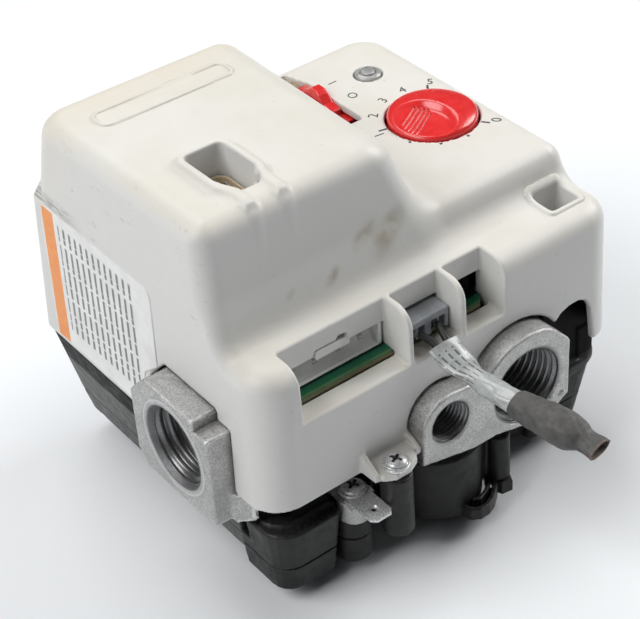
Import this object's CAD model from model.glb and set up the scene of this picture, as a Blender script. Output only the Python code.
"""Looks of the gas valve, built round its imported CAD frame."""
import math

import bmesh
import bpy
import numpy as np
from mathutils import Matrix, Vector

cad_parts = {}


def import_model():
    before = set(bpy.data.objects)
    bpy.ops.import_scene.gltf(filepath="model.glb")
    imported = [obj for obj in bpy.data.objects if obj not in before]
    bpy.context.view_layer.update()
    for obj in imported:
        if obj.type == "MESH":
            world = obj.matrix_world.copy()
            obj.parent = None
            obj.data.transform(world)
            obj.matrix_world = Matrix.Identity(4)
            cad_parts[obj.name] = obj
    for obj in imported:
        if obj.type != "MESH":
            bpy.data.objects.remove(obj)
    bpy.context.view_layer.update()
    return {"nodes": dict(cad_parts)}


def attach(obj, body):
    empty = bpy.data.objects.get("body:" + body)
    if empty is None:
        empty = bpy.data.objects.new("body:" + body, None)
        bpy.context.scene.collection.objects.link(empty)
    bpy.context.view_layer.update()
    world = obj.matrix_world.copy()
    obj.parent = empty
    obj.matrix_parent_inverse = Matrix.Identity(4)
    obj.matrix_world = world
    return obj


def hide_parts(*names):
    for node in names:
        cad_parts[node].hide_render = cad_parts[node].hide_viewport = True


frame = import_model()
NODES = frame["nodes"]

# ---------------------------------------------------------------- camera

scene = bpy.context.scene

AZIMUTH, ELEVATION, ROLL = -34.75, 37.77, -4.49
CAMERA_AT = (-0.2168, -0.3101, 0.3367)
LENS_LENGTH = 105.8


def linked(name, data):
    made = bpy.data.objects.new(name, data)
    scene.collection.objects.link(made)
    return made


def make_camera():
    az, el, roll = (math.radians(a) for a in (AZIMUTH, ELEVATION, ROLL))
    back = Vector((math.sin(az) * math.cos(el), -math.cos(az) * math.cos(el), math.sin(el)))
    side = Vector((math.cos(az), math.sin(az), 0.0))
    up = back.cross(side)
    right = math.cos(roll) * side + math.sin(roll) * up
    top = -math.sin(roll) * side + math.cos(roll) * up
    data = bpy.data.cameras.new("camera")
    data.sensor_width = 36.0
    data.lens = LENS_LENGTH
    data.clip_start = 0.01
    camera = linked("camera", data)
    camera.matrix_world = Matrix((
        (right.x, top.x, back.x, CAMERA_AT[0]),
        (right.y, top.y, back.y, CAMERA_AT[1]),
        (right.z, top.z, back.z, CAMERA_AT[2]),
        (0, 0, 0, 1),
    ))
    scene.camera = camera


make_camera()

# ---------------------------------------------------------------- distance functions, in millimetres


def vmax(*parts):
    out = parts[0]
    for part in parts[1:]:
        out = np.maximum(out, part)
    return out


def vmin(*parts):
    out = parts[0]
    for part in parts[1:]:
        out = np.minimum(out, part)
    return out


def both(a, b, r):
    """Where both are inside, with the edge rounded to r."""
    return np.minimum(np.maximum(a, b), -r) + np.hypot(np.maximum(a + r, 0), np.maximum(b + r, 0))


def either(a, b, r):
    """Either one, with a fillet of r between them."""
    return -both(-a, -b, r)


def less(a, b, r):
    return both(a, -b, r)


def rect(u, v, u0, u1, v0, v1, r=0.01):
    qu = np.abs(u - (u0 + u1) / 2) - ((u1 - u0) / 2 - r)
    qv = np.abs(v - (v0 + v1) / 2) - ((v1 - v0) / 2 - r)
    return np.hypot(np.maximum(qu, 0), np.maximum(qv, 0)) + np.minimum(np.maximum(qu, qv), 0) - r


def band(u, lo, hi):
    return np.abs(u - (lo + hi) / 2) - (hi - lo) / 2


def brick(x, y, z, x0, x1, y0, y1, z0, z1, r=0.5, corner=None):
    return both(rect(x, y, x0, x1, y0, y1, corner or r), band(z, z0, z1), r)


def rod(u, v, w, cu, cv, radius, w0, w1, r=0.4):
    """A cylinder along w, centred on (cu, cv)."""
    return both(np.hypot(u - cu, v - cv) - radius, band(w, w0, w1), r)


def polygon(u, v, points):
    """Signed distance to a closed outline."""
    best = np.full(u.shape, 1e9, np.float32)
    sign = np.ones(u.shape, np.float32)
    count = len(points)
    for i in range(count):
        (ax, ay), (bx, by) = points[i], points[i - 1]
        ex, ey = bx - ax, by - ay
        wx, wy = u - ax, v - ay
        t = np.clip((wx * ex + wy * ey) / (ex * ex + ey * ey + 1e-9), 0, 1)
        best = np.minimum(best, (wx - ex * t) ** 2 + (wy - ey * t) ** 2)
        c1, c2, c3 = v >= ay, v < by, ex * wy > ey * wx
        flip = (c1 & c2 & c3) | (~c1 & ~c2 & ~c3)
        sign = np.where(flip, -sign, sign)
    return sign * np.sqrt(best)


def path_distance(u, v, points):
    """Distance to an open run of segments."""
    best = np.full(u.shape, 1e9, np.float32)
    for (ax, ay), (bx, by) in zip(points, points[1:]):
        ex, ey = bx - ax, by - ay
        t = np.clip(((u - ax) * ex + (v - ay) * ey) / (ex * ex + ey * ey + 1e-9), 0, 1)
        best = np.minimum(best, (u - ax - ex * t) ** 2 + (v - ay - ey * t) ** 2)
    return np.sqrt(best)


def arc(cx, cy, r, start, stop, steps):
    angles = [math.radians(start + (stop - start) * i / steps) for i in range(steps + 1)]
    return [(cx + r * math.cos(a), cy + r * math.sin(a)) for a in angles]


def smoothstep(t):
    t = np.clip(t, 0, 1)
    return t * t * (3 - 2 * t)


# ---------------------------------------------------------------- meshing

EVENING_ROUNDS = 2
WEAR_REACH = 0.9


def grid_axis(lo, hi, h):
    count = max(2, int(math.ceil((hi - lo) / h)))
    return np.linspace(lo, hi, count + 1).astype(np.float32)


def sample(f, axes):
    """f on the grid, worked out only near the surface."""
    size = 8
    shape = [len(a) for a in axes]
    blocks = [int(math.ceil((n - 1) / size)) for n in shape]
    h = max(float(a[1] - a[0]) for a in axes)
    mids = [a[np.minimum(np.arange(b) * size + size // 2, len(a) - 1)] for a, b in zip(axes, blocks)]
    cx, cy, cz = np.meshgrid(*mids, indexing="ij")
    centre = f(cx.ravel(), cy.ravel(), cz.ravel()).reshape(cx.shape)
    values = np.repeat(np.repeat(np.repeat(centre, size, 0), size, 1), size, 2)
    pad = [(0, max(0, n - values.shape[i])) for i, n in enumerate(shape)]
    values = np.pad(values, pad, mode="edge")[:shape[0], :shape[1], :shape[2]].astype(np.float32)
    near = np.argwhere(np.abs(centre) < size * h * 1.25 + 0.5)
    steps = np.arange(size + 1)
    for start in range(0, len(near), 300):
        some = near[start:start + 300] * size
        spots = []
        for d in range(3):
            spot = np.minimum(some[:, d, None] + steps, shape[d] - 1)
            spot = spot.reshape([len(some)] + [size + 1 if i == d else 1 for i in range(3)])
            spots.append(np.broadcast_to(spot, (len(some), size + 1, size + 1, size + 1)).ravel())
        values[tuple(spots)] = f(*(axis[spot] for axis, spot in zip(axes, spots)))
    return values


def surface(values, axes):
    """Surface nets: one vertex in each cell the surface crosses, and a quad on each crossed edge."""
    inside = values < 0
    nx, ny, nz = (n - 1 for n in values.shape)
    total = np.zeros((nx, ny, nz), np.int8)
    corners = [(i, j, k) for i in (0, 1) for j in (0, 1) for k in (0, 1)]
    for i, j, k in corners:
        total += inside[i:nx + i, j:ny + j, k:nz + k]
    cells = np.argwhere((total > 0) & (total < 8))
    number = np.full((nx, ny, nz), -1, np.int32)
    number[cells[:, 0], cells[:, 1], cells[:, 2]] = np.arange(len(cells))
    place = np.zeros((len(cells), 3), np.float32)
    hits = np.zeros(len(cells), np.float32)
    for a in corners:
        for axis in range(3):
            if a[axis]:
                continue
            b = list(a)
            b[axis] = 1
            va = values[cells[:, 0] + a[0], cells[:, 1] + a[1], cells[:, 2] + a[2]]
            vb = values[cells[:, 0] + b[0], cells[:, 1] + b[1], cells[:, 2] + b[2]]
            crossed = (va < 0) != (vb < 0)
            t = np.where(crossed, va / np.where(crossed, va - vb, 1), 0)
            for d in range(3):
                place[:, d] += np.where(crossed, a[d] + (t if d == axis else 0), 0)
            hits += crossed
    place /= hits[:, None]
    steps = np.array([float(a[1] - a[0]) for a in axes], np.float32)
    origin = np.array([a[0] for a in axes], np.float32)
    verts = origin + (cells + place) * steps
    quads = []
    for axis in range(3):
        low = [slice(None)] * 3
        high = [slice(None)] * 3
        low[axis] = slice(0, -1)
        high[axis] = slice(1, None)
        p, q = [d for d in range(3) if d != axis]
        first = inside[tuple(low)]
        change = first != inside[tuple(high)]
        at = np.argwhere(change)
        limit = [nx, ny, nz]
        ok = (at[:, p] > 0) & (at[:, p] < limit[p]) & (at[:, q] > 0) & (at[:, q] < limit[q])
        at = at[ok]
        ring = []
        for dp, dq in ((-1, -1), (0, -1), (0, 0), (-1, 0)):
            c = at.copy()
            c[:, p] += dp
            c[:, q] += dq
            ring.append(number[c[:, 0], c[:, 1], c[:, 2]])
        quad = np.stack(ring, 1)
        out = first[at[:, 0], at[:, 1], at[:, 2]]
        if axis == 1:
            out = ~out
        quad = np.where(out[:, None], quad, quad[:, ::-1])
        quads.append(quad)
    return verts, np.concatenate(quads)


def gradient(f, v, e=0.05):
    g = np.zeros_like(v)
    for sx, sy, sz in ((1, -1, -1), (-1, -1, 1), (-1, 1, -1), (1, 1, 1)):
        d = f(v[:, 0] + sx * e, v[:, 1] + sy * e, v[:, 2] + sz * e)
        g[:, 0] += sx * d
        g[:, 1] += sy * d
        g[:, 2] += sz * d
    g /= 4 * e
    return g


def pull(f, v, limit):
    d = f(v[:, 0], v[:, 1], v[:, 2])
    g = gradient(f, v)
    step = np.clip(d, -limit, limit) / np.maximum((g * g).sum(1), 0.3)
    return (v - g * step[:, None]).astype(np.float32)


def object_from(name, verts, faces, millimetres=True):
    mesh = bpy.data.meshes.new(name)
    scale = 0.001 if millimetres else 1.0
    faces = np.asarray(faces)
    count = faces.shape[1]
    mesh.vertices.add(len(verts))
    mesh.vertices.foreach_set("co", (np.asarray(verts, np.float32) * scale).ravel())
    mesh.loops.add(faces.size)
    mesh.loops.foreach_set("vertex_index", faces.astype(np.int32).ravel())
    mesh.polygons.add(len(faces))
    mesh.polygons.foreach_set("loop_start", np.arange(0, faces.size, count, dtype=np.int32))
    mesh.polygons.foreach_set("loop_total", np.full(len(faces), count, np.int32))
    mesh.update(calc_edges=True)
    mesh.validate()
    mesh.shade_smooth()
    return linked(name, mesh)


def baked(made):
    """The object's mesh as its modifiers leave it."""
    bpy.context.view_layer.update()
    return bpy.data.meshes.new_from_object(made.evaluated_get(bpy.context.evaluated_depsgraph_get()))


def outward(made, fill=False):
    """Turns all faces outwards, after filling the open ends when asked."""
    bm = bmesh.new()
    bm.from_mesh(made.data)
    if fill:
        bmesh.ops.holes_fill(bm, edges=[e for e in bm.edges if e.is_boundary], sides=0)
    bmesh.ops.recalc_face_normals(bm, faces=bm.faces)
    bm.to_mesh(made.data)
    bm.free()
    return made


def tube_faces(rings, around, closed):
    """Quads from each ring of points to the next, and from the last to the first when closed."""
    faces = []
    for j in range(rings if closed else rings - 1):
        k = (j + 1) % rings
        for i in range(around):
            m = (i + 1) % around
            faces.append((j * around + i, j * around + m, k * around + m, k * around + i))
    return faces


def sculpt(name, f, box, h, keep):
    """An object from a distance function: meshed, evened out, thinned and pulled onto the surface."""
    axes = [grid_axis(box[i][0] - 2 * h, box[i][1] + 2 * h, h) for i in range(3)]
    verts, quads = surface(sample(f, axes), axes)
    ends = np.concatenate([quads[:, [0, 1]], quads[:, [1, 2]], quads[:, [2, 3]], quads[:, [3, 0]]])
    count = np.maximum(np.bincount(ends.ravel(), minlength=len(verts)), 1)
    for _ in range(EVENING_ROUNDS):
        total = np.stack([
            np.bincount(ends[:, 0], verts[ends[:, 1], d], len(verts))
            + np.bincount(ends[:, 1], verts[ends[:, 0], d], len(verts)) for d in range(3)], 1)
        verts = (verts * 0.4 + total / count[:, None] * 0.6).astype(np.float32)
        verts = pull(f, verts, h * 0.7)
    made = object_from(name, verts, quads)
    if keep < 1:
        thin = made.modifiers.new("thin", "DECIMATE")
        thin.ratio = keep
        mesh = baked(made)
        made.modifiers.remove(thin)
        made.data = mesh
        mesh.name = name
    mesh = made.data
    flat = np.zeros(len(mesh.vertices) * 3, np.float32)
    mesh.vertices.foreach_get("co", flat)
    verts = pull(f, flat.reshape(-1, 3) * 1000, h * 0.4)
    mesh.vertices.foreach_set("co", (verts * 0.001).ravel())
    normals = gradient(f, verts, 0.08)
    normals /= np.maximum(np.linalg.norm(normals, axis=1), 1e-6)[:, None]
    deep = f(*(verts - normals * WEAR_REACH).T)
    high = f(*(verts + normals * WEAR_REACH).T)
    edge = np.clip((deep + WEAR_REACH) / WEAR_REACH, 0, 1)
    crease = np.clip((WEAR_REACH - high) / WEAR_REACH, 0, 1)
    for label, value in (("edge", edge), ("crease", crease)):
        mesh.attributes.new(label, "FLOAT", "POINT").data.foreach_set("value", value.astype(np.float32))
    mesh.shade_smooth()
    mesh.normals_split_custom_set_from_vertices(normals.tolist())
    mesh.update()
    return made


# ---------------------------------------------------------------- places that several parts share

FOOT = 34.5
DECK = 81.0
KNOB = (41.5, 5.5)
LENS = (42.5, 33.0)
EAR_SCREW = (-18.8, -50.9)
EARTH_SCREW = (-26.0, -43.0)
OUTLET_FACE = -51.0
INLET_AXIS = (-16.5, 42.0)
MAIN_AXIS = (23.0, 37.1)
PILOT_AXIS = (-1.6, 39.6)
INLET_BOSS = [(-31.2, 26.4), (-31.2, 53.0), (-26.2, 53.0), (-26.0, 56.0), (-5.6, 56.0), (-1.6, 52.2),
              (1.2, 49.0), (1.4, 31.0), (-2.6, 26.6)]

# ---------------------------------------------------------------- front cover


def cover_form(x, y, z):
    """The cover's outer skin: drafted side walls, a shelf, a deck and a raised block."""
    up = np.maximum(z - FOOT, 0)
    back = 55 - up * 0.0645 - np.maximum(z - DECK, 0) * 0.21
    side = rect(x, y, -52 + up * 0.029, 58 - up * 0.01, -46 + up * 0.012, back, 9.0)
    crisp = rect(x, y, -52 + up * 0.029, 58, -46, back, 3.0) + np.maximum(z - 76.5, 0) * 0.5
    side = vmin(side, vmax(crisp, x + 20, 20 - y))
    front = -27 + (z - 73) * 0.065
    top = 103.7 - 0.022 * (y + 20) - 0.015 * (x + 45)
    block = both(front - y, 0.927 * x + 0.375 * z - 43.25 - 0.027 * (y + 22), 6.4)
    block = both(block, z - top, 5.0)
    deck = both(-27.2 - y, z - DECK, 4.4)
    inner = either(either(block, deck, 5.0), z - 73, 6.5)
    return both(side, inner, 5.2)


BAYS = ((-40.0, -9.2), (-7.6, 6.8), (8.4, 20.3))
LIP = [(-33.7, -23.6), (-33.9, -17.2), (-35.9, -13.4), (-35.95, 0.6), (-35.3, 2.2), (-34.0, 2.8),
       (-25.6, 2.8), (-24.3, 2.2), (-23.7, 0.8), (-23.7, -12.6), (-24.9, -15.8), (-24.9, -23.4)]
PLATE_GAP = (
    [(-10.9, 30.0)] + arc(-1.6, 40.0, 9.3, 180, 66, 10) + [(9.4, 47.5), (11.5, 47.9)]
    + arc(23.0, 37.2, 16.6, 134, 44, 14)
    + [(36.6, 46.6), (38.6, 48.4), (41.0, 49.3), (44.6, 49.4), (47.2, 48.0), (48.7, 45.0), (49.6, 37.0)]
    + [(49.8, 30.0)]
)
SLOT = [(24.0, 17.0), (27.3, 17.0), (27.9, 18.0), (27.9, 40.0), (25.8, 47.8), (24.0, 47.8)]
EAR = [(-25.4, -44.5), (-25.0, -49.4), (-23.6, -52.2), (-21.0, -53.8), (-16.6, -53.8), (-13.4, -52.2),
       (-11.4, -48.6), (-10.4, -44.5)]
GUSSETS = (
    ([(-44.6, 34.7), (-51.6, 34.7), (-51.4, 37.0), (-44.8, 41.6)], -25.5, -24.1),
    ([(-44.6, 34.7), (-50.4, 34.7), (-50.2, 36.8), (-44.8, 39.4)], -11.8, -10.4),
)


def cover(x, y, z):
    skin = cover_form(x, y, z)
    solid = np.maximum(skin, -(skin + 2.2))
    solid = vmin(
        solid,
        np.maximum(brick(x, y, z, -42.2, 22.5, -60, -34.5, 55.6, 80, 0.3), skin),
        np.maximum(brick(x, y, z, 40.4, 53.3, -40.0, -28.3, 58, 80, 0.4), skin),
        np.maximum(brick(x, y, z, -36.8, -22.8, -14.2, 3.8, 82, 110, 0.5), skin),
    )
    tall = 1.5 - 0.5 * smoothstep((-13.5 - y) / 5.0) - 1.1 * smoothstep((-22.6 - y) / 1.4)
    lip = both(path_distance(x, y, LIP) - 1.1, skin - tall, 0.6)
    solid = either(solid, np.maximum(lip, -(skin + 1.2)), 1.6)
    frame_line = both(np.abs(rect(x, y, -40, -2, 27.5, 34.5, 2.5)) - 0.5, skin - 0.5, 0.35)
    solid = either(solid, vmax(frame_line, -(skin + 1.0), 90 - z), 0.3)
    rim = vmax(both(rect(x, y, 41.0, 52.7, -39.4, -28.9, 1.6), skin - 0.6, 0.4), -(skin + 1.0), 65 - z)
    solid = either(solid, rim, 0.4)

    cut = vmin(
        brick(x, y, z, -29.6, -20.2, -60, -33, 60, 67.6, 0.5),
        brick(x, y, z, -22.6, -20.2, -60, -33, 60, 68.6, 0.3),
        brick(x, y, z, -40.0, 20.3, -39.7, -30, 50, 59, 0.3),
        brick(x, y, z, 42.4, 51.3, -38.0, -30.3, 60, 90, 0.5, 0.9),
        brick(x, y, z, -35.2, -24.4, -12.6, 2.0, 78, 120, 0.8, 1.8),
        brick(x, y, z, -33.1, -25.6, -16.5, -8, 99.4, 120, 1.8),
    )
    for x0, x1 in BAYS:
        cut = vmin(
            cut,
            brick(x, y, z, x0, x1, -60, -36.5, 58, 95, 0.5),
            brick(x, y, z, x0, x1, -60, -32.0, 58, 66, 0.35),
        )
    solid = less(solid, cut, 0.65)
    holes = vmin(
        rod(x, y, z, *KNOB, 12.25, 70, 95, 0.3),
        rod(x, y, z, *LENS, 3.85, 70, 95, 0.3),
        both(polygon(x, y, SLOT), band(z, 70, 95), 0.3),
    )
    solid = less(solid, holes, 0.35)
    inlet_gap = np.minimum(polygon(y, z, INLET_BOSS) - 0.7, rect(y, z, -31.9, 2.1, 20, 40))
    ports = vmin(
        both(polygon(x, z, PLATE_GAP), band(y, -70, -40.5), 0.3),
        both(inlet_gap, band(x, -60, -46), 0.3),
    )
    solid = less(solid, ports, 0.55)
    ear = both(polygon(x, y, EAR), band(z, FOOT, 36.6), 0.5)
    gusset = vmin(*[both(polygon(y, z, outline), band(x, lo, hi), 0.4) for outline, lo, hi in GUSSETS])
    solid = either(solid, either(ear, gusset, 0.6), 0.7)
    solid = less(solid, rod(x, y, z, *EAR_SCREW, 1.9, 30, 50, 0.2), 0.3)
    return both(solid, FOOT - z, 0.45)


# ---------------------------------------------------------------- cast body

PLATE = (
    [(-10.5, 30.5)] + arc(*PILOT_AXIS, 8.7, 178, 76, 9) + [(6.0, 47.4), (9.4, 47.2), (11.6, 47.9)]
    + arc(*MAIN_AXIS, 15.7, 134, 58, 12)
    + [(37.0, 44.4), (36.8, 27.3), (33.0, 25.2), (22.3, 24.6), (12.6, 27.0), (5.6, 26.9), (-3.2, 28.9)]
)


def port(d, radial, mouth, depth, bore, throat, chamfer):
    """A port seen along its axis: d is how far in from the face, radial the distance from the axis."""
    hole = np.maximum(radial - bore, d - depth)
    cone = radial - (mouth - d * chamfer)
    return vmin(hole, cone * 0.8, np.maximum(radial - throat, d - depth - 10))


def casting(x, y, z):
    rough = 0.05 * np.sin(1.31 * x + 1.7 * np.sin(0.8 * y))
    rough = rough * np.sin(1.1 * z + 1.5 * np.sin(0.7 * x) + 0.9 * y)
    slab = both(rect(x, y, -44, 52, -38, 47, 6), band(z, 24.9, 40), 1.0)
    plate = both(polygon(x, z, PLATE), band(y, OUTLET_FACE, -30), 0.8)
    inlet = both(polygon(y, z, INLET_BOSS), band(x, -58, -28), 0.7)
    web_front = -40.5 - y + np.maximum(-43 - x, 0) * 0.9
    web = vmax(-(x + 52.6), band(z, 25.2 + 0.25 * np.maximum(x + 52, 0), 34.2), web_front, y + 28, x + 48.4)
    boss = vmin(
        rod(x, y, z, *EARTH_SCREW, 4.2, 19.6, 26.3, 0.5),
        brick(x, y, z, -30, -22.6, -43, -36, 25.1, 26.3, 0.4),
    )
    solid = either(either(either(slab, plate, 1.5), inlet, 1.2), vmin(web, boss), 0.8) + rough
    mark = rod(x, z, y, 34.0, 28.6, 0.95, -51.2, -50.6, 0.1)
    solid = less(solid, mark, 0.2)
    across = np.hypot(y - INLET_AXIS[0], z - INLET_AXIS[1])
    solid = either(solid, vmax(band(across, 9, 13.0), -(x + 58.15), x + 50), 0.2)
    inlet_port = port(x + 58.2, across, 11.15, 19.5, 10.35, 5.5, 0.6)
    from_main = np.hypot(x - MAIN_AXIS[0], z - MAIN_AXIS[1])
    from_pilot = np.hypot(x - PILOT_AXIS[0], z - PILOT_AXIS[1])
    main_port = port(y - OUTLET_FACE, from_main, 11.2, 16.5, 10.45, 5.5, 0.9)
    pilot_port = port(y - OUTLET_FACE, from_pilot, 6.3, 12.5, 5.75, 2.6, 0.9)
    return less(solid, vmin(inlet_port, main_port, pilot_port), 0.3)


def thread(name, axis, face, middle, radius, depth, pitch, length, start):
    """The threaded wall of a port: a helical ridge inside a plain sleeve."""
    around = 112
    per_turn = 14
    rows = int(length / pitch * per_turn)
    verts = []
    for j in range(rows + 1):
        s = start + (length - start) * j / rows
        for i in range(around):
            a = 2 * math.pi * i / around
            phase = (s / pitch + a / (2 * math.pi)) % 1.0
            ridge = abs(2 * phase - 1)
            ridge = ridge * ridge * (3 - 2 * ridge)
            fade = min(1.0, max(0.0, (s - start) / pitch), max(0.0, (length - s) / pitch))
            r = radius - 0.02 * s - depth * ridge * fade
            verts.append((s, r * math.cos(a), r * math.sin(a)))
    for s in (length, start):
        for i in range(around):
            a = 2 * math.pi * i / around
            verts.append((s, (radius + 0.35) * math.cos(a), (radius + 0.35) * math.sin(a)))
    spots = np.array(verts) + (face, *middle)
    if axis == "Y":
        spots = spots[:, [1, 0, 2]]
    return outward(object_from(name, spots, tube_faces(rows + 3, around, True)))


# ---------------------------------------------------------------- black base


def rounded(corners, steps=5):
    """An outline from (x, y, r) corners in order round to the left."""
    ring = []
    count = len(corners)
    for i in range(count):
        (ax, ay, _), (bx, by, r), (cx, cy, _) = corners[i - 1], corners[i], corners[(i + 1) % count]
        u = Vector((bx - ax, by - ay)).normalized()
        v = Vector((cx - bx, cy - by)).normalized()
        turn = u.x * v.y - u.y * v.x
        bend = 1 if turn > 0 else -1
        half = math.acos(max(-1.0, min(1.0, u.dot(v)))) / 2
        n = Vector((-u.y, u.x)) * bend
        centre = Vector((bx, by)) - u * (r * math.tan(half)) + n * r
        start = math.atan2(-n.y, -n.x)
        for k in range(steps + 1):
            a = start + bend * 2 * half * k / steps
            ring.append((centre.x + r * math.cos(a), centre.y + r * math.sin(a)))
    return ring


BASE = rounded([
    (-49.4, -44.3, 7.5), (-30.4, -44.3, 2.0), (-30.4, -37.0, 1.6), (34.0, -37.0, 2.0), (34.0, -41.5, 4.0),
    (57.5, -41.5, 7.0), (57.5, 52.5, 8.0), (-49.4, 52.5, 3.0),
])
SEAM = 12.4
TURRET = (4.2, -36.6, 12.6)
POST_1 = (-18.8, -50.8, 4.0, 16.5)
POST_2 = (17.6, -45.8, 3.0, 7.9)


def from_turret(x, y, radius=TURRET[2]):
    return np.hypot(x - TURRET[0], y - TURRET[1]) - radius


def from_hub(x, y):
    return np.hypot(x, y - 4) - 13.3


def base_plan(x, y, z):
    """The base's outline, narrower towards the floor, with the turret and the round boss."""
    lean = np.clip((x - 15) / 35, 0, 1) * 0.17
    low = np.maximum(24 - z, 0)
    plan = polygon(x + np.maximum(23 - z, 0) * lean, y, BASE) + low * 0.105
    beside = smoothstep((y + 26.8) / 1.6) * smoothstep((-30 - x) / 8)
    plan = plan + beside * ((34.2 - z) * 0.225 - 2.3 - low * 0.105)
    turret = from_turret(x, y) + low * 0.03
    boss = np.hypot(x + 24.8, y + 39.9) - 5.0
    return either(either(plan, turret, 1.2), boss, 0.5)


def rear_base(x, y, z):
    plan = base_plan(x, y, z)
    solid = both(both(plan, z - 24.3, 0.7), SEAM + 0.08 - z, 0.3)
    boss_top = rod(x, y, z, -24.8, -39.9, 5.6, 19.4, 30, 0.2)
    ground = rod(x, y, z, *EARTH_SCREW, 4.7, 19.4, 30, 0.3)
    neck_plan = np.minimum(
        rect(x, y, -47.0, 55.0, -40.6, 50.0, 7.0),
        rect(x, y, 20.0, 57.2, -40.2, 50.0, 4.0),
    )
    neck_height = band(z, 22, 34.2)
    neck_room = rect(x, y, -44.7, 52.6, -38.7, 47.7, 6.0)
    neck = np.maximum(both(neck_plan, neck_height, 0.4), -neck_room)
    gaps = vmin(np.maximum(rect(x, z, -70, -40, 24.6, 60), band(y, -40.0, 3.2)),
                np.maximum(rect(x, z, -31.6, 50, 24.6, 60), band(y, -60, -30)))
    solid = either(solid, np.maximum(neck, -gaps), 1.6)
    flank = vmax(plan, 3.6 - y, x + 36, neck_height, -neck_room)
    solid = vmin(solid, flank)
    shield = brick(x, y, z, 37.4, 55.4, -39.9, -38.5, 22, 52.0, 0.4, 1.0)
    solid = either(solid, vmin(shield, brick(x, y, z, 53.0, 55.4, -39.9, -28.0, 22, 52.0, 0.5)), 0.8)
    stump = both(from_turret(x, y) + np.maximum(24 - z, 0) * 0.03, 4.0 - z, 1.3)
    solid = vmin(solid, both(stump, vmax(z - 16, y + 38), 0.2))
    rim = both(from_turret(x, y, 11.2), band(z, 20, 26.4), 0.6)
    solid = either(solid, rim, 0.8)
    for px, py, r, foot, top, wide in ((*POST_1, 34.2, 0.75), (*POST_2, 22.0, 2.0)):
        post = rod(x, y, z, px, py, r, foot, top, 0.5)
        web_front = py + (wide - 0.75) * 0.6
        web = brick(x, y, z, px - r * wide, px + r * 0.75, web_front, -33, foot + 0.6, 21.5, 0.4)
        solid = either(solid, either(post, web, 0.8), 0.9)
    solid = less(solid, vmin(ground, boss_top), 0.3)
    slot = brick(x, y, z, -53, -46.6, -30.6, -27.4, 16.6, 26, 0.6, 1.0)
    solid = less(solid, slot, 0.4)
    room = both(rect(x, y, -44, 50, -31, 47, 5), band(z, 0, 21.5), 1.0)
    return less(np.maximum(solid, -room), from_hub(x, y), 0.3)


def base_cover(x, y, z):
    plan = base_plan(x, y, z)
    solid = both(both(plan, 4.0 - z, 1.5), z - SEAM + 0.08, 0.3)
    room = both(rect(x, y, -43, 48, -31, 46, 5), band(z, 6.5, 20), 1.0)
    solid = vmin(np.maximum(solid, -room), brick(x, y, z, 11.0, 18.4, -45.2, -36.0, 4.2, 8.6, 0.4))
    well = np.hypot(x + 27, y - 24) - 7.6
    solid = vmin(solid, both(well, band(z, 4.4, 9.8), 0.4))
    solid = np.maximum(solid, -np.maximum(from_turret(x, y) - 0.1, y + 37.85))
    holes = vmin(from_hub(x, y), np.hypot(x + 27, y - 24) - 5.2)
    for sx, sy in ((-41, -36), (48, -31), (-41, 44), (49, 44)):
        solid = vmin(solid, rod(x, y, z, sx, sy, 4.0, 4.6, 10.8, 0.3))
        rho = np.hypot(x - sx, y - sy)
        holes = vmin(holes, rho - 1.9, np.maximum(rho - 3.7, z - 6.5))
    return less(solid, holes, 0.3)


HOOK = [(3.6, -48.6), (4.3, -50.9), (6.2, -52.0), (8.6, -51.9), (11.0, -50.9), (13.4, -49.1), (15.8, -46.8)]
HOOK_RIB = [(6.8, -48.9), (8.0, -49.6), (11.0, -48.5), (13.2, -46.9), (15.2, -44.6)]


def clip(x, y, z):
    """A curved gutter at the foot of the turret, which ends in a block under the second post."""
    wall = both(path_distance(x, y, HOOK) - 0.65, band(z, 4.0, 7.6), 0.3)
    floor_plate = vmax(polygon(x, y, HOOK + [(11.0, -44.0)]), band(z, 4.0, 5.0), -from_turret(x, y, 12.7))
    rib = both(path_distance(x, y, HOOK_RIB) - 0.5, band(z, 4.0, 8.2), 0.3)
    block = both(polygon(x, y, [(14.8, -46.4), (15.8, -49.4), (18.9, -49.9), (20.5, -46.6), (17.6, -44.4)]),
                 band(z, 4.0, 7.7), 0.4)
    return vmin(wall, floor_plate, rib, block)


# ---------------------------------------------------------------- controls

RIBS = [((-2.3, 4.0), (-9.4, 0.2)), ((-1.5, 3.1), (-9.9, -1.4)), ((-0.8, 2.1), (-10.0, -2.8)),
        ((-0.2, 1.2), (-9.9, -4.1)), ((-0.6, -0.2), (-9.5, -5.4))]


def knob(x, y, z):
    """A shallow dome with a broad thumb hollow on one side and grip lines in the hollow."""
    u, v = x - KNOB[0], y - KNOB[1]
    rho = np.hypot(u, v)
    top = DECK + 3.1 * np.sqrt(np.clip(1 - (rho / 12.3) ** 2, 0.0, 1))
    dome = both(rho - 11.7, (z - top) * 0.93, 0.8)
    hollow = either(np.hypot(u + 5.2, v - 0.8) - 5.6, np.hypot(u + 4.6, v + 4.6) - 6.9, 4.0)
    bed = 81.75 + 0.012 * ((u + 5) ** 2 + (v + 3.5) ** 2)
    solid = less(dome, both(hollow, bed - z, 2.2), 1.2)
    grooves = vmin(*[path_distance(u, v, rib) for rib in RIBS])
    solid = less(solid, both(grooves - 0.2, bed - 0.28 - z, 0.1), 0.12)
    point = polygon(u, v, [(4.2, 7.9), (6.0, 6.6), (4.1, 5.7)])
    solid = less(solid, both(point, top - 0.25 - z, 0.1), 0.15)
    solid = both(solid, 79.3 - z, 0.4)
    stem = rod(x, y, z, *KNOB, 4.6, 74, DECK, 0.3)
    return np.maximum(vmin(solid, stem), -np.maximum(rho - 3.1, z - 80.5))


NUB = [(25.9, 77.0), (26.1, 79.9), (28.8, 80.9), (30.6, 82.9), (31.8, 83.5), (34.2, 83.6), (36.2, 82.3),
       (38.0, 81.3), (40.4, 80.5), (40.8, 77.0)]


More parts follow.
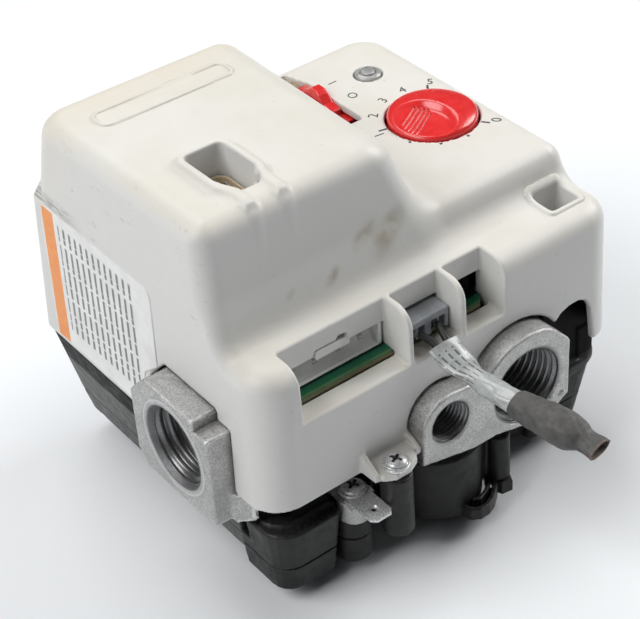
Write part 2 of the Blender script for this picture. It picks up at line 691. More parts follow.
def slider(x, y, z):
    skirt = brick(x, y, z, 22.6, 29.9, 21.5, 42.0, 75.6, 78.2, 0.4)
    deck = brick(x, y, z, 24.3, 27.6, 25.4, 41.4, 77.8, 80.1, 0.4)
    nub = both(polygon(y, z, NUB), band(x, 24.3, 27.6), 0.6)
    return either(either(skirt, deck, 0.4), nub, 0.8)


def lens(x, y, z):
    rho = np.hypot(x - LENS[0], y - LENS[1])
    dome = both(rho - 3.6, z - (80.5 + 1.5 * np.sqrt(np.clip(1 - (rho / 4.0) ** 2, 0, 1))), 0.4)
    dome = less(dome, np.maximum(np.abs(rho - 2.1) - 0.25, 81.3 - z), 0.2)
    return both(vmin(dome, np.maximum(rho - 5.6, z - 78.3)), 76 - z, 0.2)


# ---------------------------------------------------------------- small parts


def plug(x, y, z):
    solid = brick(x, y, z, -6.4, 6.3, -41.3, -34.4, 59.6, 65.2, 0.3)
    for x0, x1 in ((-5.2, -1.0), (1.0, 5.2)):
        solid = less(solid, brick(x, y, z, x0, x1, -43, -39.0, 59.4, 63.4, 0.2), 0.15)
    for x0 in (-3.4, 2.9):
        solid = vmin(solid, brick(x, y, z, x0, x0 + 0.5, -41.2, -39, 60.0, 63.6, 0.1))
    return solid


def header(x, y, z):
    body = brick(x, y, z, -39.2, -9.8, -36.2, -24.0, 59.5, 67.0, 0.3)
    room = polygon(y, z, [(-42, 60.0), (-35.2, 60.0), (-31.6, 66.6), (-42, 66.6)])
    body = less(body, both(room, band(x, -38.4, -10.8), 0.2), 0.15)
    return vmin(body, brick(x, y, z, -29, -19, -36.2, -34.6, 64.6, 67.2, 0.3))


def pocket_shroud(x, y, z):
    """The thin arched collar inside the pocket, round the high-voltage blades."""
    plan = rect(x, y, -34.6, -25.0, -12.0, 1.4, 3.2)
    wall = both(np.abs(plan + 0.35) - 0.35, band(z, 80, 96.2), 0.2)
    return vmin(wall, both(plan, band(z, 89.6, 90.8), 0.2))


def blades(x, y, z):
    plates = [brick(x, y, z, x0, x0 + 0.45, -9.0, -0.4, 91.0, 94.8, 0.1) for x0 in (-29.2, -27.7, -26.3)]
    return vmin(*plates, brick(x, y, z, -29.4, -25.7, -6.0, -3.0, 91.0, 92.0, 0.2))


def lever_guide(x, y, z):
    """The tan plate of the switch that shows in the open end of the slot."""
    ramp = polygon(y, z, [(42.4, 76.4), (49.4, 76.4), (49.4, 79.6), (44.2, 80.0), (42.4, 79.2)])
    hollow = brick(x, y, z, 24.6, 26.4, 43.8, 48.0, 79.3, 82, 0.3)
    return less(both(ramp, band(x, 23.0, 27.8), 0.4), hollow, 0.2)


def screw(cx, cy, seat, radius, tall, washer):
    """The distance function of a domed cross-head screw with its washer, standing on seat."""
    def shape(x, y, z):
        rho = np.hypot(x - cx, y - cy)
        head = both(rho - radius, z - (seat + tall - (rho / radius) ** 2 * tall * 0.35), 0.35)
        disc = both(rho - washer, z - seat - 0.75, 0.25)
        u, v = (x - cx) * 0.906 + (y - cy) * 0.423, (y - cy) * 0.906 - (x - cx) * 0.423
        slope = 0.35 * (z - seat - tall)
        cross = vmin(
            np.maximum(np.abs(u) - 0.42 - slope * 0.3, np.abs(v) - radius * 0.62 - slope),
            np.maximum(np.abs(v) - 0.42 - slope * 0.3, np.abs(u) - radius * 0.62 - slope),
            rho - radius * 0.33 - slope,
        )
        head = less(head, np.maximum(cross, seat + tall * 0.3 - z), 0.08)
        return vmin(both(either(head, disc, 0.3), seat - z, 0.1), vmax(rho - 1.1, seat - 6 - z, z - seat))
    return shape


TAB = [(-29.0, -40.6), (-29.5, -45.6), (-29.4, -53.7), (-28.0, -55.0), (-24.0, -55.0), (-22.9, -53.6),
       (-22.9, -46.6), (-22.2, -46.4), (-22.0, -44.6), (-22.8, -41.0), (-26.0, -39.4)]


def tab(x, y, z):
    blade = both(polygon(x, y, TAB), band(z, 26.5, 27.3), 0.16)
    wall = vmax(band(x, -29.6, -29.1), band(y, -47.2, -44.0), band(z, 25.2, 27.0))
    rho = np.hypot(x + 26.3, y + 51.2)
    dent = np.hypot(rho, z - 27.9) - 1.35
    return less(vmin(blade, wall), vmin(rho - 0.55, np.maximum(dent, 26.9 - z)), 0.1)


# ---------------------------------------------------------------- materials


class Paint:
    """A material, built a node at a time. Its pattern coordinates are the object's own, in millimetres."""

    def __init__(self, name, colour, roughness, metallic=0.0):
        self.material = bpy.data.materials.new(name)
        self.material.use_nodes = True
        self.tree = self.material.node_tree
        self.shader = self.tree.nodes["Principled BSDF"]
        self.set("Base Color", (*colour, 1))
        self.set("Roughness", roughness)
        self.set("Metallic", metallic)
        self.coordinates = self.node("ShaderNodeTexCoord")
        self.place = self.node("ShaderNodeMapping", Vector=self.coordinates.outputs["Object"])
        self.place.inputs["Scale"].default_value = (1000, 1000, 1000)
        self.height = None

    def feed(self, socket, value):
        """Links the socket to another one, or gives it a value."""
        if isinstance(value, bpy.types.NodeSocket):
            self.tree.links.new(value, socket)
        else:
            socket.default_value = value

    def set(self, socket, value):
        self.feed(self.shader.inputs[socket], value)

    def node(self, kind, **inputs):
        made = self.tree.nodes.new(kind)
        for key, value in inputs.items():
            self.feed(made.inputs[key], value)
        return made

    def noise(self, scale, detail, rough, stretch=None):
        place = self.place.outputs[0]
        if stretch:
            place = self.node("ShaderNodeMapping", Vector=place, Scale=stretch).outputs[0]
        made = self.node("ShaderNodeTexNoise", Vector=place, Scale=scale, Detail=detail, Roughness=rough)
        return made.outputs["Fac"]

    def cloud(self, scale, detail, rough, lo=0.3, hi=0.7, to_lo=0.0, to_hi=1.0, stretch=None):
        """Noise stretched to a range."""
        return self.span(self.noise(scale, detail, rough, stretch), lo, hi, to_lo, to_hi)

    def cells(self, scale):
        made = self.node("ShaderNodeTexVoronoi", Vector=self.place.outputs[0], Scale=scale)
        return made.outputs["Distance"]

    def axis(self, letter):
        return self.node("ShaderNodeSeparateXYZ", Vector=self.place.outputs[0]).outputs[letter]

    def facing(self, letter):
        return self.node("ShaderNodeSeparateXYZ", Vector=self.coordinates.outputs["Normal"]).outputs[letter]

    def mark(self, name):
        made = self.node("ShaderNodeAttribute")
        made.attribute_name = name
        return made.outputs["Fac"]

    def span(self, value, lo, hi, to_lo=0.0, to_hi=1.0):
        made = self.tree.nodes.new("ShaderNodeMapRange")
        made.interpolation_type = "SMOOTHSTEP"
        self.tree.links.new(value, made.inputs["Value"])
        for key, number in (("From Min", lo), ("From Max", hi), ("To Min", to_lo), ("To Max", to_hi)):
            made.inputs[key].default_value = number
        return made.outputs["Result"]

    def math(self, operation, a, b=0.0):
        made = self.tree.nodes.new("ShaderNodeMath")
        made.operation = operation
        for socket, value in zip(made.inputs, (a, b)):
            self.feed(socket, value)
        return made.outputs[0]

    def times(self, a, b):
        return self.math("MULTIPLY", a, b)

    def mix(self, share, a, b):
        made = self.tree.nodes.new("ShaderNodeMix")
        made.data_type = "RGBA"
        for key, value in (("Factor_Float", share), ("A_Color", a), ("B_Color", b)):
            socket = next(s for s in made.inputs if s.identifier == key)
            self.feed(socket, (*value, 1) if isinstance(value, tuple) else value)
        return next(s for s in made.outputs if s.identifier == "Result_Color")

    def bump(self, height, distance, strength):
        made = self.node("ShaderNodeBump", Height=height, Distance=distance * 0.001, Strength=strength)
        if self.height:
            self.tree.links.new(self.height, made.inputs["Normal"])
        self.height = made.outputs["Normal"]
        self.tree.links.new(self.height, self.shader.inputs["Normal"])


# Brown smudges on the block's front: x, z, size and strength.
SMUDGES = ((0.5, 82.0, 9.5, 0.8), (-6.0, 84.0, 6.0, 0.7), (-17.0, 78.5, 3.6, 0.75), (-29.0, 79.0, 2.4, 0.4))


def ivory():
    p = Paint("ivory_plastic", (0.7, 0.68, 0.62), 0.42)
    warm = p.cloud(0.035, 3, 0.6, 0.35, 0.7)
    colour = p.mix(warm, (0.71, 0.695, 0.65), (0.68, 0.655, 0.59))
    up = p.span(p.facing("Z"), 0.2, 0.9)
    colour = p.mix(up, (0.66, 0.655, 0.635), colour)
    back = p.times(p.span(p.axis("Y"), 20.0, 56.0), p.span(p.axis("Z"), 70.0, 104.0))
    colour = p.mix(p.times(back, 0.55), colour, (0.70, 0.62, 0.48))
    dirt = p.times(p.mark("crease"), p.cloud(0.35, 4, 0.6, 0.3, 0.75, 0.1, 0.75))
    colour = p.mix(dirt, colour, (0.42, 0.38, 0.31))
    front = p.span(p.axis("Y"), -22.5, -25.5)
    for sx, sz, size, share in SMUDGES:
        along = p.math("ADD", p.times(p.math("SUBTRACT", p.axis("X"), sx), 0.8),
                       p.times(p.math("SUBTRACT", p.axis("Z"), sz), 0.6))
        across = p.math("SUBTRACT", p.times(p.math("SUBTRACT", p.axis("Z"), sz), 0.8),
                        p.times(p.math("SUBTRACT", p.axis("X"), sx), 0.6))
        reach = p.math("SQRT", p.math("ADD", p.times(along, along), p.times(p.times(across, across), 3.5)))
        blur = p.times(p.span(reach, size, size * 0.1), p.cloud(0.22, 4, 0.55, 0.34, 0.66, 0.3, 1.0))
        colour = p.mix(p.times(p.times(blur, front), share), colour, (0.40, 0.345, 0.25))
    speck = p.cloud(0.75, 2, 0.5, 0.70, 0.76, 0.0, 0.35)
    colour = p.mix(speck, colour, (0.46, 0.42, 0.36))
    rub = p.times(p.mark("edge"), p.cloud(0.4, 4, 0.7, 0.42, 0.7, 0.0, 0.6))
    colour = p.mix(rub, colour, (0.80, 0.785, 0.74))
    left = p.times(p.span(p.axis("X"), -45.0, -52.0), p.span(p.axis("Z"), 60.0, 98.0))
    scuff = p.times(left, p.cloud(0.3, 6, 0.75, 0.60, 0.68, 0.0, 0.6, stretch=(1.0, 0.4, 1.0)))
    colour = p.mix(scuff, colour, (0.30, 0.29, 0.28))
    low = p.times(p.span(p.axis("X"), -44.0, -50.5),
                  p.times(p.span(p.axis("Z"), 76.6, 77.4), p.span(p.axis("Z"), 82.0, 78.5)))
    low = p.times(p.times(low, p.span(p.axis("Y"), 24.0, 40.0)),
                  p.cloud(1.1, 4, 0.7, 0.42, 0.58, 0.1, 0.8, stretch=(1.0, 0.2, 1.6)))
    colour = p.mix(low, colour, (0.22, 0.22, 0.21))
    p.set("Base Color", colour)
    p.set("Roughness", p.cloud(0.2, 4, 0.6, 0.3, 0.7, 0.36, 0.5))
    p.set("Specular IOR Level", 0.42)
    p.bump(p.noise(3.2, 3, 0.6), 0.05, 0.55)
    p.bump(p.noise(0.25, 3, 0.5), 0.12, 0.25)
    return p.material


def aluminium():
    p = Paint("cast_aluminium", (0.5, 0.5, 0.5), 0.45, 0.9)
    grain = p.noise(2.2, 5, 0.7)
    colour = p.mix(p.span(grain, 0.32, 0.68), (0.37, 0.367, 0.36), (0.68, 0.677, 0.665))
    colour = p.mix(p.cloud(0.12, 3, 0.6, 0.35, 0.7, 0.0, 0.45), colour, (0.33, 0.325, 0.32))
    flash = p.times(p.span(p.mark("edge"), 0.08, 0.5), p.cloud(0.55, 4, 0.7, 0.38, 0.6, 0.25, 0.95))
    colour = p.mix(flash, colour, (0.86, 0.86, 0.87))
    colour = p.mix(p.span(p.mark("crease"), 0.1, 0.9, 0.0, 0.75), colour, (0.10, 0.10, 0.10))
    dy = p.math("SUBTRACT", p.axis("Y"), INLET_AXIS[0])
    dz = p.math("SUBTRACT", p.axis("Z"), INLET_AXIS[1])
    across = p.math("SQRT", p.math("ADD", p.times(dy, dy), p.times(dz, dz)))
    faced = p.span(p.axis("X"), -55.0, -56.0)
    ring = p.times(p.span(across, 12.1, 12.35), p.span(across, 12.9, 12.6))
    colour = p.mix(p.times(p.times(ring, faced), 0.4), colour, (0.86, 0.86, 0.88))
    colour = p.mix(p.times(p.times(p.span(across, 11.5, 11.2), faced), 0.8), colour, (0.13, 0.13, 0.14))
    p.set("Base Color", colour)
    p.set("Roughness", p.cloud(0.9, 4, 0.7, 0.3, 0.7, 0.34, 0.58))
    p.bump(p.noise(1.9, 5, 0.72), 0.24, 0.8)
    p.bump(p.cells(1.1), 0.10, 0.35)
    return p.material


def machined(name, shade, roughness, metal=1.0):
    p = Paint(name, (shade, shade, shade), roughness, metal)
    streak = p.noise(1.4, 4, 0.6)
    colour = p.mix(p.span(streak, 0.3, 0.7), (shade * 0.75,) * 3, (shade, shade, shade * 1.02))
    p.set("Base Color", p.mix(p.span(p.mark("crease"), 0.1, 0.6, 0.0, 0.85), colour, (0.04, 0.04, 0.04)))
    p.set("Roughness", p.cloud(3.0, 3, 0.6, 0.3, 0.7, roughness * 0.8, roughness * 1.2))
    p.bump(p.noise(2.0, 2, 0.5), 0.012, 0.4)
    return p.material


def black(name, shade, roughness):
    p = Paint(name, (shade, shade, shade), roughness)
    colour = p.mix(p.cloud(0.08, 4, 0.6, 0.35, 0.7), (shade * 0.8,) * 3, (shade * 1.7,) * 3)
    rub = p.times(p.mark("edge"), p.cloud(0.7, 4, 0.7, 0.4, 0.7, 0.1, 0.8))
    colour = p.mix(p.times(rub, 0.5), colour, (0.12, 0.12, 0.12))
    dust = p.times(p.span(p.facing("Z"), 0.5, 1.0), p.cloud(1.1, 4, 0.7, 0.45, 0.8, 0.0, 0.35))
    colour = p.mix(dust, colour, (0.16, 0.155, 0.145))
    flank = p.times(p.span(p.facing("X"), -0.6, -0.92), p.span(p.axis("Y"), -28.0, -22.0))
    colour = p.mix(p.times(flank, 0.75), colour, (0.085, 0.083, 0.08))
    shade_of_cover = p.times(p.span(p.axis("Z"), 24.6, 26.0), p.span(p.axis("Y"), -47.0, -46.0))
    p.set("Base Color", p.mix(p.times(shade_of_cover, 0.9), colour, (0.002, 0.002, 0.002)))
    p.set("Roughness", p.cloud(0.35, 4, 0.65, 0.3, 0.72, roughness - 0.04, roughness + 0.16))
    p.set("Specular IOR Level", p.span(shade_of_cover, 0.0, 1.0, 0.3, 0.04))
    p.bump(p.noise(2.4, 4, 0.6), 0.06, 0.5)
    return p.material


def moulded(name, colour, roughness, grain=2.6, spread=0.12, coat=0.0, dent=0.05):
    """A plastic or rubber of one colour, with grain, slight mottling and worn edges."""
    p = Paint(name, colour, roughness)
    dark = tuple(c * (1 - spread) for c in colour)
    lift = tuple(min(1.0, c * (1 + spread) + 0.01) for c in colour)
    mottled = p.mix(p.cloud(0.3, 4, 0.6), dark, lift)
    rubbed = p.mix(p.times(p.mark("edge"), 0.35), mottled, tuple(min(1.0, c * 1.35 + 0.03) for c in colour))
    dirty = p.times(p.mark("crease"), p.cloud(0.6, 3, 0.6, 0.3, 0.7, 0.1, 0.6))
    p.set("Base Color", p.mix(dirty, rubbed, tuple(c * 0.45 for c in colour)))
    p.set("Roughness", p.cloud(0.8, 3, 0.6, 0.3, 0.7, roughness * 0.85, min(1.0, roughness * 1.25)))
    if coat:
        p.set("Coat Weight", coat)
        p.set("Coat Roughness", 0.15)
    p.bump(p.noise(grain, 3, 0.6), dent, 0.5)
    return p.material


def circuit():
    p = Paint("circuit_board", (0.02, 0.2, 0.1), 0.35)
    y = p.axis("Y")
    base = p.mix(p.cloud(0.25, 2, 0.5), (0.010, 0.115, 0.055), (0.012, 0.135, 0.066))
    base = p.mix(p.span(y, -36.5, -36.2), base, (0.004, 0.02, 0.015))
    base = p.mix(p.span(y, -38.2, -39.1, 0.0, 0.7), base, (0.13, 0.22, 0.09))
    edge = p.span(p.axis("Z"), 59.1, 58.0)
    p.set("Base Color", p.mix(edge, base, (0.36, 0.33, 0.19)))
    p.set("Roughness", p.cloud(1.0, 3, 0.5, 0.3, 0.7, 0.3, 0.38))
    p.bump(p.noise(4.0, 2, 0.5), 0.01, 0.3)
    return p.material


def label_print():
    """White film with an orange band at one end and rows of plain grey bars."""
    p = Paint("side_label_print", (0.8, 0.8, 0.78), 0.38)
    y, z = p.axis("Y"), p.axis("Z")
    paper = p.mix(p.cloud(0.15, 4, 0.6), (0.80, 0.80, 0.79), (0.72, 0.715, 0.70))
    row = p.math("FRACT", p.times(y, 0.37))
    line = p.times(p.span(row, 0.30, 0.36), p.span(row, 0.74, 0.68))
    word = p.cloud(1.0, 2, 0.5, 0.40, 0.43, stretch=(0.0, 0.001, 0.55))
    inside = p.times(p.span(z, 40.0, 40.6), p.span(z, 74.0, 73.2))
    inside = p.times(inside, p.times(p.span(y, 39.6, 39.0), p.span(y, 6.0, 6.6)))
    ink = p.times(p.times(line, p.span(z, 41.0, 41.5)), p.times(inside, 0.9))
    colour = p.mix(p.times(ink, word), paper, (0.10, 0.10, 0.11))
    band = p.times(p.span(y, 41.0, 41.2), p.span(y, 46.7, 46.5))
    band = p.times(band, p.times(p.span(z, 36.0, 36.2), p.span(z, 76.2, 76.0)))
    orange = p.mix(p.cloud(0.5, 3, 0.6), (0.80, 0.24, 0.035), (0.86, 0.31, 0.06))
    p.set("Base Color", p.mix(band, colour, orange))
    p.set("Roughness", p.cloud(0.5, 3, 0.6, 0.3, 0.7, 0.32, 0.48))
    p.bump(p.noise(0.35, 3, 0.5), 0.10, 0.3)
    return p.material


def sleeve_film():
    p = Paint("label_sleeve_film", (0.8, 0.8, 0.8), 0.22)
    row = p.math("FRACT", p.times(p.mark("around"), 13.0))
    line = p.times(p.span(row, 0.36, 0.41), p.span(row, 0.69, 0.64))
    gap = p.span(p.math("FRACT", p.times(p.mark("along"), 9.0)), 0.26, 0.3)
    here = p.times(p.span(p.mark("along"), 0.08, 0.1), p.span(p.mark("along"), 0.56, 0.54))
    ink = p.times(p.times(line, gap), p.times(here, 0.85))
    film = p.mix(p.cloud(0.4, 4, 0.6), (0.40, 0.42, 0.415), (0.31, 0.325, 0.32))
    p.set("Base Color", p.mix(ink, film, (0.07, 0.07, 0.08)))
    p.set("Roughness", p.cloud(0.7, 3, 0.6, 0.3, 0.7, 0.2, 0.4))
    p.set("Coat Weight", 0.5)
    p.set("Coat Roughness", 0.08)
    p.bump(p.noise(0.4, 2, 0.5), 0.16, 0.4)
    return p.material


def boot_rubber():
    p = Paint("boot_rubber", (0.06, 0.055, 0.05), 0.6)
    end = p.span(p.mark("along"), 0.955, 0.985)
    mottled = p.mix(p.cloud(0.35, 5, 0.65), (0.055, 0.053, 0.051), (0.088, 0.085, 0.082))
    p.set("Base Color", p.mix(p.times(end, 0.8), mottled, (0.16, 0.105, 0.075)))
    p.set("Roughness", p.cloud(0.9, 4, 0.6, 0.3, 0.7, 0.46, 0.72))
    p.bump(p.noise(1.3, 4, 0.65), 0.16, 0.6)
    p.bump(p.noise(0.45, 3, 0.6, (1.0, 0.25, 1.0)), 0.3, 0.4)
    return p.material


IVORY = ivory()
CAST = aluminium()
BLACK = black("black_plastic", 0.011, 0.4)
RUBBER = black("gasket_rubber", 0.02, 0.6)
STEEL = machined("zinc_steel", 0.82, 0.3, 0.5)
THREAD = machined("cut_thread", 0.23, 0.34, 0.85)
TIN = machined("tinned_pin", 0.8, 0.25, 0.5)
RED = moulded("red_plastic", (0.72, 0.024, 0.024), 0.22, 1.4, 0.04, 0.4, 0.015)
GREY = moulded("plug_grey", (0.31, 0.325, 0.345), 0.42)
HEADER = moulded("header_white", (0.74, 0.735, 0.71), 0.4, 2.6, 0.05)
WIRE = moulded("wire_jacket", (0.022, 0.020, 0.019), 0.42, 2.0, 0.2)
SMOKE = moulded("lens_smoke", (0.36, 0.36, 0.35), 0.22, 0.9, 0.3, 0.5)
INK = moulded("dial_ink", (0.045, 0.045, 0.05), 0.5, 4.0, 0.3)
TAN = moulded("tan_lever", (0.46, 0.36, 0.24), 0.45)
COPPER = machined("copper_winding", 0.5, 0.35)
RESIN = moulded("orange_resin", (0.5, 0.25, 0.08), 0.4)

# ---------------------------------------------------------------- pieces


def paint(made, material):
    made.data.materials.clear()
    made.data.materials.append(material)
    return made


def place(made, material, body, *nodes, slot=None):
    paint(made, material)
    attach(made, body)
    if nodes:
        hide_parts(*nodes)
    return made


def piece(name, f, box, h, material, *nodes, body="valve", keep=1.0, slot=None):
    """A sculpted piece: box is its reach in millimetres, h its mesh size, keep its share of faces."""
    return place(sculpt(name, f, box, h, keep), material, body, *nodes, slot=slot)


# The harness: two wires from the plug, a label sleeve round them and a rubber boot on their end.

HARNESS = (
    (0.0, -0.0415, 0.0616),
    (0.0, -0.0445, 0.0609),
    (0.0001, -0.0490, 0.0589),
    (0.0004, -0.0540, 0.0572),
    (0.0009, -0.0600, 0.0562),
    (0.0016, -0.0660, 0.0559),
    (0.0025, -0.0730, 0.0559),
    (0.0036, -0.0800, 0.0559),
    (0.0047, -0.0870, 0.0557),
    (0.0057, -0.0930, 0.0551),
)
WIRE_R = 0.00095
WIRE_OFFSET = 0.0012
WIRE_SPREAD = 0.0019


def smooth(points, per_span):
    """A Catmull-Rom curve through points."""
    out = []
    ends = [points[0]] + list(points) + [points[-1]]
    for a, b, c, d in zip(ends, ends[1:], ends[2:], ends[3:]):
        a, b, c, d = Vector(a), Vector(b), Vector(c), Vector(d)
        for i in range(per_span):
            t = i / per_span
            out.append(0.5 * (2 * b + (c - a) * t + (2 * a - 5 * b + 4 * c - d) * t * t
                              + (3 * b - 3 * c + d - a) * t ** 3))
    return out + [Vector(points[-1])]


def wire(name, side):
    route = []
    for i, p in enumerate(smooth(HARNESS[:8], 3)):
        spread = WIRE_OFFSET + WIRE_SPREAD * max(0.0, 1 - i / 8) ** 2
        route.append(p + Vector((side * spread, 0, 0)))
    path = bpy.data.curves.new(f"{name}_wire", "CURVE")
    path.dimensions = "3D"
    path.bevel_depth = WIRE_R
    path.bevel_resolution = 4
    path.use_fill_caps = True
    line = path.splines.new("POLY")
    line.points.add(len(route) - 1)
    for spot, p in zip(line.points, route):
        spot.co = (*p, 1)
    line.use_smooth = True
    made = linked(path.name, path)
    place(made, WIRE, "valve", f"wire_{name}")
    length = sum((b - a).length for a, b in zip(route, route[1:]))
    return made, route[0], length


def skin_round(name, sizes, ripple, closed_loop):
    """A soft tube round the harness: sizes are (place along it, half width, half height), in millimetres."""
    around = 56
    line = smooth(HARNESS, 24)
    rings = smooth(sizes, 8)
    verts, along = [], []
    lo = min(s[0] for s in sizes)
    hi = max(s[0] for s in sizes)
    for where, half_w, half_h in rings:
        at = min(max(where, 0.0), 0.9999) * (len(line) - 1)
        i = min(int(at), len(line) - 2)
        middle = line[i].lerp(line[i + 1], at - i)
        tangent = (line[min(i + 6, len(line) - 1)] - line[max(i - 6, 0)]).normalized()
        side = tangent.cross(Vector((0, 0, 1))).normalized()
        up = side.cross(tangent)
        s = (where - lo) / (hi - lo)
        for k in range(around):
            a = 2 * math.pi * k / around
            swell = 1 + ripple(a, s)
            out = side * half_w * math.cos(a) + up * half_h * math.sin(a)
            verts.append(tuple(middle + out * swell * 0.001))
            along.append((s, k / around))
    faces = tube_faces(len(rings), around, closed_loop)
    made = object_from(name, np.array(verts), faces, millimetres=False)
    for label, column in (("along", 0), ("around", 1)):
        values = np.array([pair[column] for pair in along], np.float32)
        made.data.attributes.new(label, "FLOAT", "POINT").data.foreach_set("value", values)
    return outward(made, fill=not closed_loop)


def harness():
    def folds(a, s):
        return 0.05 * math.sin(3 * a + 9 * s) * math.sin(7 * s + 1) + 0.03 * math.sin(5 * a - 16 * s)

    def wrinkles(a, s):
        coarse = 0.035 * math.sin(2 * a + 5 * s) + 0.02 * math.sin(5 * a - 13 * s)
        return coarse + 0.018 * math.sin(9 * a + 31 * s)

    wires = [wire("left", -1), wire("right", 1)]
    sleeve = skin_round("sleeve_wrap", (
        (0.172, 3.95, 1.35), (0.165, 4.2, 1.5), (0.172, 4.4, 1.6), (0.25, 4.3, 1.6), (0.32, 3.8, 1.7),
        (0.37, 2.9, 2.0), (0.41, 2.5, 2.2), (0.45, 2.85, 2.4), (0.5, 3.0, 2.5), (0.63, 3.0, 2.5),
        (0.635, 2.7, 2.2), (0.5, 2.7, 2.2), (0.41, 2.25, 1.9), (0.32, 3.5, 1.4), (0.25, 4.0, 1.35),
    ), folds, True)
    boot = skin_round("shrunk_boot", (
        (0.65, 2.2, 1.7), (0.622, 3.0, 2.5), (0.619, 3.5, 3.0), (0.627, 3.85, 3.3), (0.68, 4.05, 3.5),
        (0.74, 4.3, 3.8), (0.81, 4.5, 4.0), (0.86, 4.4, 3.8), (0.895, 3.8, 3.0), (0.915, 3.25, 2.3),
        (0.94, 3.3, 2.0), (0.985, 3.7, 1.95), (0.999, 3.75, 1.9), (0.999, 3.4, 1.6), (0.98, 3.0, 1.2),
        (0.96, 2.4, 0.6),
    ), wrinkles, False)
    place(sleeve, sleeve_film(), "valve", "label_sleeve")
    place(boot, boot_rubber(), "valve", "heat_shrink_boot")
    plug_box = ((-6.6, 6.5), (-41.7, -34.3), (59.5, 65.6))
    socket = piece("plug_block", plug, plug_box, 0.16, GREY, "harness_plug")


harness()


def label():
    """A thin film on the cover's side, with rounded corners at the top and a cut round the inlet."""
    rows, columns = 60, 70
    foot, top, radius = 35.4, 76.8, 3.2
    front, back = [], []
    for i in range(rows + 1):
        z = foot + (top - foot) * i / rows
        corner = max(0.0, z - (top - radius)) / radius
        trim = radius * (1 - math.sqrt(max(0.0, 1 - corner * corner)))
        beside = 3.9 if z < 49 else 3.9 - 1.25 * (z - 49)
        low = max(beside, -2.4 + trim)
        high = 47.2 - trim
        for j in range(columns + 1):
            y = low + (high - low) * j / columns
            wall = -52 + (z - FOOT) * 0.029
            lift = 0.02 * math.sin(0.5 * y + 0.31 * z) + 0.015 * math.sin(0.9 * z - 0.2 * y)
            front.append((wall - 0.13 + lift, y, z))
            back.append((wall + 0.05, y, z))
    width = columns + 1
    offset = len(front)
    faces = []
    for i in range(rows):
        for j in range(columns):
            a, b, c, d = i * width + j, i * width + j + 1, (i + 1) * width + j + 1, (i + 1) * width + j
            faces.append((a, b, c, d))
            faces.append((offset + d, offset + c, offset + b, offset + a))
    rim = (list(range(columns)) + [i * width + columns for i in range(rows)]
           + [rows * width + j for j in range(columns, 0, -1)] + [i * width for i in range(rows, 0, -1)])
    for a, b in zip(rim, rim[1:] + rim[:1]):
        faces.append((b, a, offset + a, offset + b))
    film = outward(object_from("side_label_film", np.array(front + back), faces))
    return place(film, label_print(), "valve", "side_label")


def letters(marks):
    """Printed characters lying on the deck: marks are (text, x, y, turn in degrees, height)."""
    bm = bmesh.new()
    for text, x, y, turn, tall in marks:
        data = bpy.data.curves.new("mark", "FONT")
        data.body = text
        data.size = tall * 1.42
        data.align_x = "CENTER"
        data.align_y = "CENTER"
        data.extrude = 0.03
        data.resolution_u = 3
        made = linked("mark", data)
        mesh = baked(made)
        mesh.transform(Matrix.Translation((x, y, DECK)) @ Matrix.Rotation(math.radians(turn), 4, "Z"))
        bm.from_mesh(mesh)
        bpy.data.objects.remove(made)
        bpy.data.meshes.remove(mesh)
    return bm


# Each numeral's angle round the knob in degrees and its distance from the knob's axis.
NUMERALS = (("0", -50, 16.2), ("1", 172, 15.6), ("2", 137, 15.0), ("3", 107.5, 15.0), ("4", 81, 15.0),
            ("5", 52, 16.6))


def dial_print():
    cx, cy = KNOB
    marks = []
    for text, angle, reach in NUMERALS:
        a = math.radians(angle)
        marks.append((text, cx + reach * math.cos(a), cy + reach * math.sin(a), angle - 90, 2.7))
    marks.append(("I", 32.6, 35.8, -90, 2.6))
    marks.append(("O", 32.6, 27.2, -90, 2.6))
    bm = letters(marks)
    for angle in (-88, -121, -155):
        a = math.radians(angle)
        spot = Matrix.Translation((cx + 13.3 * math.cos(a), cy + 13.3 * math.sin(a), DECK))
        bmesh.ops.create_cone(bm, cap_ends=True, segments=20, radius1=0.45, radius2=0.4, depth=0.06,
                              matrix=spot)
    for angle in (-56, 166, 55):
        turn = Matrix.Rotation(math.radians(angle), 4, "Z")
        bar = Matrix.Translation((cx, cy, DECK)) @ turn @ Matrix.Translation((13.9, 0, 0))
        bar = bar @ Matrix.Diagonal((2.3, 0.6, 0.06, 1))
        bmesh.ops.create_cube(bm, size=1, matrix=bar)
    bmesh.ops.scale(bm, vec=(0.001, 0.001, 0.001), verts=bm.verts)
    mesh = bpy.data.meshes.new("dial_print")
    bm.to_mesh(mesh)
    bm.free()
    return place(linked("dial_print", mesh), INK, "valve", slot="front_cover")


piece("cover_shell", cover, ((-52, 58), (-54, 55), (34.4, 105.6)), 0.6, IVORY, "front_cover", keep=0.38)
piece("valve_casting", casting, ((-58, 52), (-51, 47), (19.5, 56.5)), 0.6, CAST, "valve_body", keep=0.6)
for thread_name, bore_axis, mouth_at, middle_of, *sizes in (
    ("inlet_thread", "X", -58, INLET_AXIS, 10.3, 1.3, 2.5, 18.5, 1.2),
    ("main_thread", "Y", OUTLET_FACE, MAIN_AXIS, 10.4, 1.0, 1.81, 15.8, 0.5),
    ("pilot_thread", "Y", OUTLET_FACE, PILOT_AXIS, 5.7, 0.6, 1.15, 11.8, 0.4),
):
    place(thread(thread_name, bore_axis, mouth_at, middle_of, *sizes), THREAD, "valve", slot="valve_body")
piece("base_upper", rear_base, ((-53, 58), (-55, 56), (4, 52.5)), 0.6, BLACK, "rear_base", keep=0.7)
piece("base_lower", base_cover, ((-50, 58), (-50, 53), (4, 12.6)), 0.6, BLACK, "rear_base_cover")
piece("clip_arm", clip, ((-2, 21), (-53, -43), (4, 8)), 0.25, BLACK, "retaining_clip")
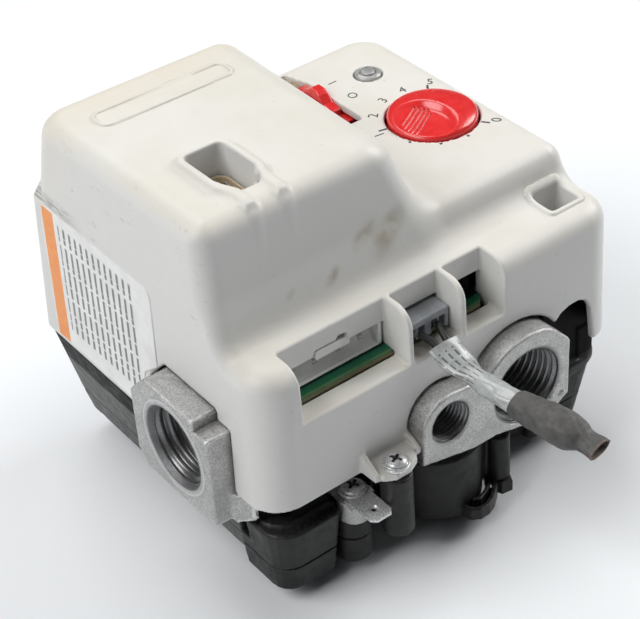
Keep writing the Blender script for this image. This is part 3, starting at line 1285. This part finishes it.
piece("knob_cap", knob, ((29.5, 53.5), (-6.5, 17.5), (74, 86)), 0.22, RED, "temperature_knob", body="knob")
piece("switch_slider", slider, ((22, 30), (21, 43), (75, 85)), 0.2, RED, "power_switch", body="switch")
piece("lens_dome", lens, ((36, 49), (27, 39), (76, 82)), 0.25, SMOKE, "status_lens")
piece("header_shroud", header, ((-40, -9), (-37, -23), (59, 68)), 0.25, HEADER, "header_housing")
piece("ear_screw", screw(*EAR_SCREW, 36.7, 2.7, 2.3, 3.5), ((-23, -15), (-55, -47), (30, 40)), 0.14, STEEL,
      "cover_screw")
piece("earth_screw", screw(*EARTH_SCREW, 27.4, 2.8, 2.2, 3.4), ((-30, -22), (-47, -39), (21, 31)), 0.14,
      STEEL, "ground_screw")
piece("earth_tab", tab, ((-30, -21), (-56, -39), (25, 28)), 0.18, STEEL, "ground_tab")
piece("pocket_collar", pocket_shroud, ((-35, -24), (-13, 2), (79.8, 96.6)), 0.25, TAN, slot="front_cover")
piece("pocket_blades", blades, ((-30, -25.5), (-9.2, -0.2), (90.9, 95)), 0.2, STEEL, slot="blade_terminal")
piece("lever_guide", lever_guide, ((23, 28), (42, 50), (76, 80.3)), 0.25, TAN, slot="switch_module")
label()
dial_print()

KEPT = {
    "circuit_board": circuit(), "header_pin": TIN, "blade_terminal": TIN, "inlet_strainer": STEEL,
    "plug_header": HEADER, "service_header": BLACK, "spark_module": BLACK, "switch_module": TAN,
    "potentiometer_body": RESIN, "potentiometer_shaft": HEADER, "status_led": RED, "base_screw": STEEL,
    "base_gasket": RUBBER, "mounting_hub": BLACK, "sensor_probe": COPPER, "regulator_diaphragm": RUBBER,
    "regulator_screw": TIN, "regulator_spring": STEEL, "main_valve_coil": COPPER, "pilot_valve_coil": COPPER,
    "main_valve": STEEL, "pilot_valve": STEEL,
}


def repaint():
    """Each CAD node that stays gets the material of the longest name it starts with."""
    for name, node in NODES.items():
        if node.hide_render:
            continue
        keys = [key for key in KEPT if name.startswith(key)]
        if not keys:
            raise ValueError(f"{name} has no material")
        paint(node, KEPT[max(keys, key=len)])


repaint()

# ---------------------------------------------------------------- floor and light


def floor():
    mesh = bpy.data.meshes.new("floor")
    bm = bmesh.new()
    bmesh.ops.create_grid(bm, x_segments=4, y_segments=4, size=3)
    bm.to_mesh(mesh)
    bm.free()
    made = linked("floor", mesh)
    made.location.z = -0.0002
    p = Paint("floor_paper", (0.8, 0.82, 0.84), 0.6)
    p.set("Base Color", p.mix(p.cloud(0.004, 2, 0.5), (0.82, 0.84, 0.86), (0.85, 0.87, 0.885)))
    p.bump(p.noise(0.6, 2, 0.5), 0.05, 0.15)
    paint(made, p.material)


def lamp(name, position, power):
    """A round lamp that faces the lower part of the valve."""
    data = bpy.data.lights.new(name, "AREA")
    data.shape = "DISK"
    data.size = 0.8
    data.energy = power
    made = linked(name, data)
    made.location = position
    made.rotation_euler = (Vector((0, 0, 0.05)) - Vector(position)).to_track_quat("-Z", "Y").to_euler()


def world():
    made = bpy.data.worlds.new("studio")
    made.use_nodes = True
    background = made.node_tree.nodes["Background"]
    background.inputs["Color"].default_value = (0.93, 0.96, 1.0, 1)
    background.inputs["Strength"].default_value = 0.05
    scene.world = made
    scene.view_settings.view_transform = "Standard"


floor()
world()
lamp("back_light", (0.0, 0.6, 1.1), 6.2)
lamp("left_light", (-0.75, 0.1, 0.85), 8.8)
lamp("right_light", (1.0, -0.1, 0.7), 11.4)
